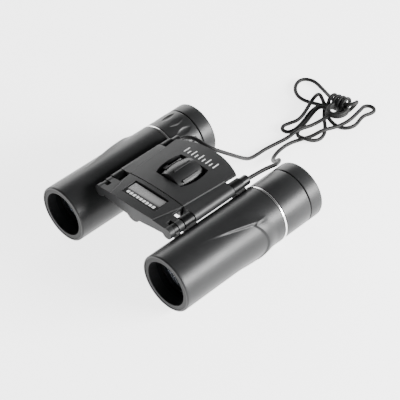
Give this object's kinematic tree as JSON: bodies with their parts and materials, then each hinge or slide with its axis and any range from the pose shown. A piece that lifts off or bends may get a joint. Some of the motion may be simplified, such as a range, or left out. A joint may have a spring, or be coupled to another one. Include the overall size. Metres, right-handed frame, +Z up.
{
  "type": "compact folding binoculars",
  "caption": "Compact roof-prism binoculars with two straight barrels on a hinged bridge, a focus wheel, a dioptre ring and a neck cord.",
  "frame": {"origin": "bottom centre of the object as it rests on both barrels, without the neck cord", "axes": "+Z up, -Y the way the objectives face, +X towards the left barrel of someone who looks through it"},
  "size_m": [0.0996, 0.171, 0.0352],
  "materials": {
    "housing": "moulded, dull black",
    "armour": "fine soft-touch grain, satin",
    "ring_plastic": "satin black",
    "inner_plastic": "dull black inside the barrels",
    "glass": "polished",
    "coated_glass": "polished, with a dark anti-reflection coating",
    "bright_metal": "polished",
    "eyecup_rubber": "smooth satin rubber",
    "cell_metal": "black anodised",
    "steel": "turned",
    "cap_metal": "black, semi-gloss",
    "eyepiece_plastic": "satin black",
    "cover_plastic": "fine-grained satin charcoal",
    "label_gloss": "gloss black with a silver gradient",
    "brass": "turned",
    "wheel_rubber": "satin rubber with ribs",
    "cord_fabric": "round black braid"
  },
  "bodies": {
    "bridge": {"rear_cover": "cover_plastic", "bottom_cover": "cover_plastic", "cover_screws": "steel", "left_hinge_rod": "steel", "right_hinge_rod": "steel", "left_strap_cap": "cap_metal", "right_strap_cap": "cap_metal", "focus_bush": "brass", "neck_cord_left": "cord_fabric", "neck_cord_right": "cord_fabric", "neck_cord_hank": "cord_fabric"},
    "front_slide": {"front_plate": "cover_plastic", "label_plate": "label_gloss", "focus_nut": "brass"},
    "focus_drive": {"focus_wheel": "wheel_rubber", "focus_screw": "steel", "focus_clip": "steel"},
    "left_barrel": {"left_barrel_housing": "housing", "left_barrel_armour": "armour", "left_front_ring": "ring_plastic", "left_prism_holder": "inner_plastic", "left_half_penta_prism": "glass", "left_roof_prism": "glass", "left_bright_ring": "bright_metal", "left_eyepiece_core": "inner_plastic", "left_eyepiece_sleeve": "eyepiece_plastic", "left_eyecup": "eyecup_rubber", "left_ocular_cell": "inner_plastic", "left_field_lens": "glass", "left_eye_lens": "glass"},
    "right_barrel": {"right_barrel_housing": "housing", "right_barrel_armour": "armour", "right_front_ring": "ring_plastic", "right_prism_holder": "inner_plastic", "right_half_penta_prism": "glass", "right_roof_prism": "glass", "right_bright_ring": "bright_metal", "right_eyepiece_core": "inner_plastic"},
    "left_objective": {"left_objective_cell": "cell_metal", "left_objective_lens": "coated_glass", "left_lens_retainer": "cell_metal"},
    "right_objective": {"right_objective_cell": "cell_metal", "right_objective_lens": "coated_glass", "right_lens_retainer": "cell_metal"},
    "dioptre": {"dioptre_ring": "eyepiece_plastic", "right_eyecup": "eyecup_rubber"},
    "right_ocular": {"right_ocular_cell": "inner_plastic", "right_field_lens": "glass", "right_eye_lens": "glass"}
  },
  "joints": [
    {"name": "left_fold", "type": "hinge", "parent": "bridge", "child": "left_barrel", "pos_m": [0.0224, 0, 0.02705], "axis": [0, 1, 0], "range_deg": [-4, 50]},
    {"name": "right_fold", "type": "hinge", "parent": "bridge", "child": "right_barrel", "pos_m": [-0.0224, 0, 0.02705], "axis": [0, -1, 0], "range_deg": [-4, 50]},
    {"name": "focus_turn", "type": "hinge", "parent": "bridge", "child": "focus_drive", "pos_m": [0, 0, 0.02625], "axis": [0, 1, 0], "range_deg": [0, 540]},
    {"name": "front_plate_slide", "type": "slide", "parent": "bridge", "child": "front_slide", "axis": [0, -1, 0], "range_m": [0, 0.003]},
    {"name": "left_objective_slide", "type": "slide", "parent": "left_barrel", "child": "left_objective", "axis": [0, -1, 0], "range_m": [0, 0.003]},
    {"name": "right_objective_slide", "type": "slide", "parent": "right_barrel", "child": "right_objective", "axis": [0, -1, 0], "range_m": [0, 0.003]},
    {"name": "dioptre_turn", "type": "hinge", "parent": "right_barrel", "child": "dioptre", "pos_m": [-0.0347, 0, 0.01445], "axis": [0, 1, 0], "range_deg": [-60, 60]},
    {"name": "right_ocular_slide", "type": "slide", "parent": "right_barrel", "child": "right_ocular", "axis": [0, 1, 0], "range_m": [-0.0005, 0.0005]}
  ],
  "couplings": [
    {"joint": "front_plate_slide", "follows": "focus_turn", "m_per_rad": 0.0003183},
    {"joint": "left_objective_slide", "follows": "focus_turn", "m_per_rad": 0.0003183},
    {"joint": "right_objective_slide", "follows": "focus_turn", "m_per_rad": 0.0003183},
    {"joint": "right_ocular_slide", "follows": "dioptre_turn", "m_per_rad": 0.000477}
  ]
}
